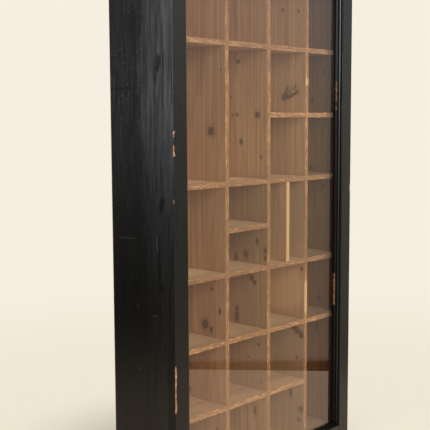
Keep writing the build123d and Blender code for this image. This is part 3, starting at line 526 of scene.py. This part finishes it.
class CASE_OT_studio(bpy.types.Operator):
    """Lay the floor, hang the lamps and set the camera"""

    bl_idname = "glazed_case.studio"
    bl_label = "Studio"

    def execute(self, context):
        studio = context.scene.glazed_case_studio
        self.hang_backdrop(context, studio)
        self.lay_floor(context, studio)
        self.hang_lamp(context, "key_lamp", (-1.6, -4.2, 2.3), studio.key)
        self.hang_lamp(context, "fill_lamp", (3.6, -2.5, 1.8), studio.fill)
        self.hang_lamp(context, "overhead_lamp", (0.0, -0.6, 4.4), studio.overhead)
        self.stand_cards(context)
        self.set_camera(context, studio)
        return {"FINISHED"}

    def hang_backdrop(self, context, studio):
        """Show a pale backdrop to the eye, to gloss and to glass, and give plain light to the rest."""
        world = bpy.data.worlds.new("studio")
        world.use_nodes = True
        tree = world.node_tree
        tree.nodes.clear()
        path = add(tree, "ShaderNodeLightPath").node
        seen = path.outputs["Is Camera Ray"]
        for name in ("Is Glossy Ray", "Is Transmission Ray"):
            seen = add(tree, MATH, {0: seen, 1: path.outputs[name]}, operation="MAXIMUM")
        light = add(tree, "ShaderNodeBackground", {0: linear("#ffffff"), 1: studio.ambient})
        shown = add(tree, "ShaderNodeBackground", {0: studio.backdrop, 1: 1.0})
        both = add(tree, "ShaderNodeMixShader", {0: seen, 1: light, 2: shown})
        add(tree, "ShaderNodeOutputWorld", {"Surface": both})
        context.scene.world = world
        context.scene.view_settings.view_transform = "Standard"

    def lay_floor(self, context, studio):
        """Lay a pale round floor that runs out into the backdrop, with no line between them."""
        mesh = bpy.data.meshes.new("floor")
        net = bmesh.new()
        bmesh.ops.create_circle(net, cap_ends=True, segments=128, radius=40.0)
        net.to_mesh(mesh)
        net.free()
        floor = bpy.data.objects.new("floor", mesh)
        context.scene.collection.objects.link(floor)
        material, tree = new_material("pale floor paint")
        place = add(tree, "ShaderNodeTexCoord", out="Object")
        away = add(tree, VECTOR, {0: place}, "Value", operation="LENGTH")
        fade = add(tree, RANGE, {0: away, 1: 0.3, 2: 1.1}, interpolation_type="SMOOTHSTEP")
        grain = add(tree, NOISE, {"Vector": place, "Scale": 3.0, "Detail": 3.0})
        grain = add(tree, RANGE, {0: grain, 3: 0.0, 4: 0.06})
        links = {0: grain, 6: studio.floor, 7: linear("#e9e0cd")}
        paint = add(tree, MIX, links, 2, data_type="RGBA")
        matt = add(tree, SURFACE, {"Base Color": paint, "Roughness": 0.9})
        tone = add(tree, RANGE, {0: away, 1: 1.0, 2: 4.0}, interpolation_type="SMOOTHSTEP")
        tone = add(tree, MIX, {0: tone, 6: linear("#efe7d3"), 7: studio.backdrop}, 2, data_type="RGBA")
        far = add(tree, "ShaderNodeEmission", {0: tone, 1: 1.0})
        both = add(tree, "ShaderNodeMixShader", {0: fade, 1: matt, 2: far})
        add(tree, "ShaderNodeOutputMaterial", {"Surface": both})
        mesh.materials.append(material)

    def hang_lamp(self, context, name, place, power):
        """Hang a large square lamp that looks at the middle of the case."""
        lamp = bpy.data.lights.new(name, "AREA")
        lamp.shape = "SQUARE"
        lamp.size = 2.8
        lamp.energy = power
        lamp_object = bpy.data.objects.new(name, lamp)
        lamp_object.location = place
        aim = Vector((0, 0, 1.0)) - Vector(place)
        lamp_object.rotation_euler = aim.to_track_quat("-Z", "Y").to_euler()
        lamp_object.visible_glossy = False
        context.scene.collection.objects.link(lamp_object)

    def stand_cards(self, context):
        """Stand the cards that only gloss sees: a scrim at each side, a dark gap before it, and sheets."""
        rise, lift = Vector((0, 0, 3.4)), Vector((0, 0, 0.002))
        scrims = {
            "scrim_right": (
                ((-1.30, -3.57), (2.89, 0.88)), ((0.24, -1.86), (1.54, -0.21)),
                (
                    (0.0, "#6b6863"), (0.012, "#a89b8b"), (0.18, "#a89b8b"), (0.36, "#aca795"),
                    (0.54, "#b8b19f"), (0.68, "#bab7ab"), (0.86, "#bec0bf"),
                ),
            ),
            "scrim_left": (
                ((-0.29, 3.31), (-3.41, -0.33)), ((-0.03, 2.85), (-3.15, -0.79)),
                ((0.1, "#141313"), (0.3, "#7c7b79"), (0.44, "#dddcda"), (0.6, "#ffffff")),
            ),
        }
        for name, (foot, near, heights) in scrims.items():
            foot = [Vector((*end, 0)) for end in foot]
            near = [Vector((*end, 0)) + lift for end in near]
            stops = [(place, linear(code)) for place, code in heights]
            self.stand_card(context, name, (*foot, foot[1] + rise, foot[0] + rise), stops)
            gap = (*near, foot[1] + lift, foot[0] + lift)
            self.stand_card(context, f"{name}_gap", gap, [(0.0, linear("#1c1b1a"))])
        sheets = {
            "sheet_right": (((-0.13, -2.33), (1.54, -0.21), (0.9, 0.3), (-0.5, -0.2)), "#e7cdb3"),
            "sheet_left": (((-0.03, 2.85), (-3.15, -0.79), (-0.9, -1.6), (-0.3, 0.3)), "#ffe9c3"),
        }
        for name, (corners, code) in sheets.items():
            corners = [Vector((*corner, 0.002)) for corner in corners]
            self.stand_card(context, name, corners, [(0.0, linear(code))])

    def stand_card(self, context, name, corners, stops):
        """Stand one glowing card, its colour set by height over two metres, that only gloss sees."""
        mesh = bpy.data.meshes.new(name)
        mesh.from_pydata(corners, [], [(0, 1, 2, 3)])
        card = bpy.data.objects.new(name, mesh)
        context.scene.collection.objects.link(card)
        card.visible_camera = False
        card.visible_diffuse = False
        card.visible_transmission = False
        card.visible_shadow = False
        material, tree = new_material(name)
        height = add(tree, "ShaderNodeTexCoord", out="Object")
        height = add(tree, "ShaderNodeSeparateXYZ", {0: height}, "Z")
        height = add(tree, MATH, {0: height, 1: 0.5}, operation="MULTIPLY")
        height = add(tree, "ShaderNodeValToRGB", {0: height}, stops=stops)
        glow = add(tree, "ShaderNodeEmission", {0: height, 1: 1.0})
        add(tree, "ShaderNodeOutputMaterial", {"Surface": glow})
        mesh.materials.append(material)

    def set_camera(self, context, studio):
        """Stand the camera at the front left, a little above the middle, looking slightly down."""
        lens = bpy.data.cameras.new("camera")
        lens.lens = studio.lens
        lens.sensor_width = 36.0
        lens.shift_x, lens.shift_y = -0.0167, 0.0152
        camera = bpy.data.objects.new("camera", lens)
        turn = Matrix.Rotation(math.radians(-48.4), 4, "Z")
        tilt = Matrix.Rotation(math.radians(90 - 6.24), 4, "X")
        roll = Matrix.Rotation(math.radians(-0.227), 4, "Z")
        camera.matrix_world = Matrix.Translation((-2.3151, -1.9727, 1.1736)) @ turn @ tilt @ roll
        context.scene.collection.objects.link(camera)
        context.scene.camera = camera


class CASE_OT_lattice(bpy.types.Operator):
    """Stain the dividers, shelves, back boards and bottom brown"""

    bl_idname = "glazed_case.lattice"
    bl_label = "Brown-stained lattice"

    def execute(self, context):
        looks = context.scene.glazed_case_looks
        second, third = DIVIDER_X[1:]
        pale = {3: [((third, -98, z), (20, 6, along)) for z, along in ((565, 62), (1305, 12))]}
        coats = {
            2: (
                ((second, 10, 850), (30, 300, 150), "#7a5a40"),
                ((second, 10, 480), (30, 300, 240), "#8f6c4e"),
            ),
            3: (
                ((third, 10, 865), (30, 300, 140), "#9a7654"), ((third, 10, 590), (30, 120, 90), "#dcab78"),
                ((third, 10, 280), (30, 300, 220), "#9a7a5c"),
            ),
        }
        tones = {1: "#ffffff", 2: "#f8ffff", 3: "#f6ffff"}
        for number, (x, knots) in enumerate(zip(DIVIDER_X, DIVIDER_KNOTS), 1):
            spots = [((x, y, z), (30, across, along)) for y, z, across, along in knots]
            material, tree = new_material(f"brown-stained pine, divider {number}")
            worn = {"pale": pale.get(number, ()), "coats": coats.get(number, ())}
            surface = stained_pine_surface(tree, looks, "Z", spots, tone=tones[number], **worn)
            dress(material, surface, f"divider_{number}")
        # Dirt has gathered in the joints between the back boards.
        boards = named("back_board")
        joints = [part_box(name)[0].x * 1000 for name in boards]
        dirt = [((x, 130, 945), (2.5, 60, 3000), "#33231a") for x in joints]
        for name, tone in zip(boards, ("#ffffff", "#e9dfd4", "#f6efe7", "#dfd2c4", "#f1e8de")):
            material, tree = new_material(f"brown-stained pine, {name}")
            surface = stained_pine_surface(tree, looks, "Z", tone=tone, coats=dirt)
            dress(material, surface, name)
        level = named("shelf", "bottom_panel", "fixing")
        for name, grain, nodes, fresh in (
            ("upright half", "Z", ["upright_half"], [((129, -98, 845), (20, 6, 200))]),
            ("shelves", "X", level, ()),
        ):
            material, tree = new_material(f"brown-stained pine, {name}")
            surface = stained_pine_surface(tree, looks, grain, pale=fresh, shaded=grain == "X")
            dress(material, surface, *nodes)
        return {"FINISHED"}


class CASE_OT_outside(bpy.types.Operator):
    """Stain the sides, top and door black"""

    bl_idname = "glazed_case.outside"
    bl_label = "Black-stained outside"

    def execute(self, context):
        looks = context.scene.glazed_case_looks
        self.stain_sides(looks)
        self.stain_door(looks)
        return {"FINISHED"}

    def stain_sides(self, looks):
        """Stain the sides black outside and brown inside."""
        sides = (("side_panel_left", LEFT_KNOTS, -1), ("side_panel_right", RIGHT_KNOTS, 1))
        for node, knots, sign in sides:
            spots = [((sign * 440, y, z), (400, across, along)) for y, z, across, along in knots]
            # The left-hand knots show outside, and the right-hand ones inside.
            outer_knots, inner_knots = (spots, None) if sign < 0 else (None, spots)
            chips = [((sign * OUTER_X, 132, 900), (0.6, 3, 1000))]
            material, tree = new_material(f"black-stained pine, {node}")
            apart = case_place(tree)[1]
            foot = add(tree, RANGE, {0: apart["Z"], 1: 0.60, 2: 0.46})
            finishes = ((0.12, 0.26, None, None), (0.17, 0.26, foot, None))
            black = black_stain_surface(tree, looks, "Z", finishes, outer_knots, chips, LEFT_RUBS)
            # Painted shade: inside, the right side is toned greyer and darker for the shade in the right-hand
            # column, and a strip at its front is painted darker still for the shadow of the door's stile.
            brown = stained_pine_surface(tree, looks, "Z", inner_knots, False, "#b4a89c", painted_stile_shadow=sign > 0)
            across = add(tree, MATH, {0: apart["X"]}, operation="ABSOLUTE")
            outside = add(tree, MATH, {0: across, 1: INNER_X / 1000 + 0.0005}, operation="GREATER_THAN")
            both = add(tree, "ShaderNodeMixShader", {0: outside, 1: brown, 2: black})
            dress(material, both, node)

    def stain_door(self, looks):
        """Stain the door and the top black, the mouldings' beads glossy with painted highlights, their
        hollows dull.
        """
        material, tree = new_material("black-stained pine, left stile")
        apart = case_place(tree)[1]
        low = add(tree, RANGE, {0: apart["Z"], 1: 1.5, 2: 0.8})
        outer = add(tree, MATH, {0: apart["X"], 1: 0.0005 - OUTER_X / 1000}, operation="LESS_THAN")
        finishes = ((0.72, 0.28, None, None), (0.38, 0.3, low, None), (0.12, 0.26, outer, None))
        chips = [((x, DOOR_FACE_Y, z), radii) for x, z, radii in STILE_CHIPS]
        nails = [((x, DOOR_FACE_Y, z), (r, r, r)) for x, z, r in STILE_NAILS]
        surface = black_stain_surface(tree, looks, "Z", finishes, nails, chips, LEFT_RUBS)
        dress(material, surface, "door_stile_left")
        chips = [((x, DOOR_FACE_Y, z), radii) for x, z, radii in RIGHT_STILE_CHIPS]
        level = ["top_panel", "door_rail_bottom", "door_rail_top"]
        for grain, nodes in (("Z", ["door_stile_right"]), ("X", level)):
            material, tree = new_material(f"black-stained pine, grain along {grain}")
            apart = case_place(tree)[1]
            finishes = [(0.68, 0.28, None, None)]
            if grain == "Z":
                foot = add(tree, RANGE, {0: apart["Z"], 1: 0.75, 2: 0.4})
                quirk = add(tree, RANGE, {0: apart["X"], 1: 0.398, 2: 0.396})
                finishes += [(0.54, 0.28, foot, None), (0.05, 0.5, quirk, None)]
            surface = black_stain_surface(tree, looks, grain, finishes, None, chips if grain == "Z" else ())
            dress(material, surface, *nodes)
        beads = (("right", "Z", BEAD_CHIPS), ("left", "Z", ()), ("bottom", "X", ()), ("top", "X", ()))
        for place, grain, spots in beads:
            material, tree = new_material(f"black-stained pine, {place} mouldings")
            depth = case_place(tree)[1]["Y"]
            depth = add(tree, RANGE, {0: depth, 1: DOOR_FACE_Y / 1000, 2: DOOR_FACE_Y / 1000 + 0.024})
            finishes = [(0.05, 0.5, None, None)]
            # Painted highlights: the crests of the outer and inner beads are painted pale grey and blue-grey.
            crest_highlights = ((1.0, (0.23, 0.28, 0.49, 0.53), "#888b91"), (0.4, (0.66, 0.70, 0.92, 0.95), "#434d54"))
            for gloss, crest, grey in crest_highlights:
                stops = list(zip(crest, (0, 1, 1, 0)))
                finishes.append((gloss, 0.16, add(tree, "ShaderNodeValToRGB", {0: depth}, stops=stops), grey))
            surface = black_stain_surface(tree, looks, grain, finishes, None, spots, arrises=False)
            dress(material, surface, f"moulding_{place}", f"glazing_strip_{place}")


class CASE_OT_raw_wood(bpy.types.Operator):
    """Leave the plinth, the bearer and the glue blocks as raw pine"""

    bl_idname = "glazed_case.raw_wood"
    bl_label = "Raw pine"

    def execute(self, context):
        looks = context.scene.glazed_case_looks
        for grain, nodes in (("X", named("plinth", "centre_bearer")), ("Z", named("glue_blocks"))):
            # Planed pine with no finish, yellowed by air and dry, so it has next to no sheen.
            material, tree = new_material(f"raw pine, grain along {grain}")
            place = board_place(tree, grain)
            ring, fibre, knot, _ = pine_figure(tree, place)
            links = {0: ring, 1: 0.3, 2: 1.0, 3: 0.0, 4: 0.6}
            late = add(tree, RANGE, links, interpolation_type="SMOOTHSTEP")
            dark = add(tree, MATH, {0: fibre, 1: late}, operation="MULTIPLY")
            colour = add(tree, MIX, {0: dark, 6: looks.raw_light, 7: looks.raw_dark}, 2, data_type="RGBA")
            core = add(tree, RANGE, {0: knot, 1: 1.2, 2: 0.6}, interpolation_type="SMOOTHSTEP")
            colour = add(tree, MIX, {0: core, 6: colour, 7: looks.knot_halo}, 2, data_type="RGBA")
            dirt = add(tree, NOISE, {"Vector": place, "Scale": 18.0, "Detail": 4.0})
            dirt = add(tree, RANGE, {0: dirt, 1: 0.5, 2: 0.75, 3: 0.0, 4: 0.35})
            colour = add(tree, MIX, {0: dirt, 6: colour, 7: looks.knot}, 2, data_type="RGBA")
            rough = add(tree, RANGE, {0: dirt, 1: 0.0, 2: 0.35, 3: 0.78, 4: 0.9})
            links = {"Height": fibre, "Strength": 0.5, "Distance": 0.0005}
            bump = add(tree, "ShaderNodeBump", links, out="Normal")
            links = {"Base Color": colour, "Roughness": rough, "Normal": bump, "IOR": 1.48}
            surface = add(tree, SURFACE, links)
            dress(material, surface, *nodes)
        return {"FINISHED"}


class CASE_OT_hardware(bpy.types.Operator):
    """Finish the steel of the hinges, screws and nails and the plastic of the catches"""

    bl_idname = "glazed_case.hardware"
    bl_label = "Steel and plastic"

    def execute(self, context):
        looks = context.scene.glazed_case_looks
        # Rolled mild steel, dulled in air, a little brown where damp has sat on it.
        material, tree = new_material("dulled mild steel")
        place = add(tree, "ShaderNodeTexCoord", out="Object")
        dull = add(tree, NOISE, {"Vector": place, "Scale": 220.0, "Detail": 4.0, "Roughness": 0.6})
        rust = add(tree, NOISE, {"Vector": place, "Scale": 90.0, "Detail": 5.0, "Roughness": 0.7})
        rust = add(tree, RANGE, {0: rust, 1: 0.56, 2: 0.66})
        colour = add(tree, MIX, {0: dull, 6: looks.steel, 7: looks.steel_dull}, 2, data_type="RGBA")
        colour = add(tree, MIX, {0: rust, 6: colour, 7: looks.rust}, 2, data_type="RGBA")
        metal = add(tree, MATH, {0: 1.0, 1: rust}, operation="SUBTRACT")
        rough = add(tree, RANGE, {0: dull, 1: 0.3, 2: 0.7, 3: 0.3, 4: 0.5})
        rusty = add(tree, MATH, {0: rust, 1: 0.8}, operation="MULTIPLY")
        rough = add(tree, MATH, {0: rough, 1: rusty}, operation="MAXIMUM")
        links = {"Height": dull, "Strength": 0.2, "Distance": 0.0002}
        bump = add(tree, "ShaderNodeBump", links, out="Normal")
        links = {"Base Color": colour, "Metallic": metal, "Roughness": rough, "Normal": bump}
        surface = add(tree, SURFACE, links)
        metal_nodes = named("hinge", "strike", "catch", "glazing_pins", "back_nails")
        metal_nodes = [name for name in metal_nodes if "housing" not in name]
        dress(material, surface, *metal_nodes)
        # Moulded brown plastic: an even colour, satin from the mould, with fine scuffs 1 mm wide.
        material, tree = new_material("moulded brown plastic")
        place = add(tree, "ShaderNodeTexCoord", out="Object")
        scuff = add(tree, VECTOR, {0: place, 1: (900.0, 120.0, 900.0)}, operation="MULTIPLY")
        scuff = add(tree, NOISE, {"Vector": scuff, "Scale": 1.0, "Detail": 3.0})
        scuff = add(tree, RANGE, {0: scuff, 1: 0.55, 2: 0.75})
        colour = add(tree, MIX, {0: scuff, 6: looks.plastic, 7: looks.plastic_scuffed}, 2, data_type="RGBA")
        rough = add(tree, RANGE, {0: scuff, 3: 0.34, 4: 0.55})
        links = {"Height": scuff, "Strength": 0.1, "Distance": 0.0001}
        bump = add(tree, "ShaderNodeBump", links, out="Normal")
        links = {"Base Color": colour, "Roughness": rough, "Normal": bump, "IOR": 1.46}
        surface = add(tree, SURFACE, links)
        dress(material, surface, *named("catch_housing"))
        return {"FINISHED"}


class CASE_OT_glass(bpy.types.Operator):
    """Glaze the door"""

    bl_idname = "glazed_case.glass"
    bl_label = "Window glass"

    def execute(self, context):
        # Drawn sheet glass, 3 mm, clear with a faint green. Both faces reflect, so the front one carries
        # the two reflections and the light leaves through the back one untouched.
        material, tree = new_material("window glass")
        behind = add(tree, "ShaderNodeNewGeometry", out="Backfacing")
        ahead = add(tree, MATH, {0: 1.0, 1: behind}, operation="SUBTRACT")
        gloss = add(tree, "ShaderNodeFresnel", {"IOR": 1.52})
        gloss = add(tree, MATH, {0: gloss, 1: 1.9}, operation="MULTIPLY")
        gloss = add(tree, MATH, {0: gloss, 1: ahead}, operation="MULTIPLY", use_clamp=True)
        clear = add(tree, "ShaderNodeBsdfTransparent", {0: linear("#fafcfa")})
        shine = add(tree, "ShaderNodeBsdfAnisotropic", {0: linear("#ffffff"), "Roughness": 0.0})
        both = add(tree, "ShaderNodeMixShader", {0: gloss, 1: clear, 2: shine})
        dress(material, both, "glass_pane")
        return {"FINISHED"}


# ---------------------------------------------------------------- panel and start


class CASE_PT_panel(bpy.types.Panel):
    """List the case's pieces and settings."""

    bl_idname = "CASE_PT_panel"
    bl_label = "Glazed compartment case"
    bl_space_type = "VIEW_3D"
    bl_region_type = "UI"
    bl_category = "Case"

    def draw(self, context):
        for settings in (context.scene.glazed_case_looks, context.scene.glazed_case_studio):
            box = self.layout.box()
            for name in settings.bl_rna.properties.keys()[2:]:
                box.prop(settings, name)
        for step in STEPS:
            self.layout.operator(step.bl_idname)


STEPS = (CASE_OT_studio, CASE_OT_lattice, CASE_OT_outside, CASE_OT_raw_wood, CASE_OT_hardware, CASE_OT_glass)
CLASSES = (CASE_PG_looks, CASE_PG_studio, *STEPS, CASE_PT_panel)


def register():
    """Register the classes and hang the settings on the scene."""
    for item in CLASSES:
        bpy.utils.register_class(item)
    bpy.types.Scene.glazed_case_looks = PointerProperty(type=CASE_PG_looks)
    bpy.types.Scene.glazed_case_studio = PointerProperty(type=CASE_PG_studio)


def unregister():
    """Take the settings and the classes away."""
    del bpy.types.Scene.glazed_case_studio
    del bpy.types.Scene.glazed_case_looks
    for item in reversed(CLASSES):
        bpy.utils.unregister_class(item)


def main():
    """Make every piece."""
    register()
    for step in STEPS:
        group, name = step.bl_idname.split(".")
        getattr(getattr(bpy.ops, group), name)()


if __name__ == "__main__":
    main()
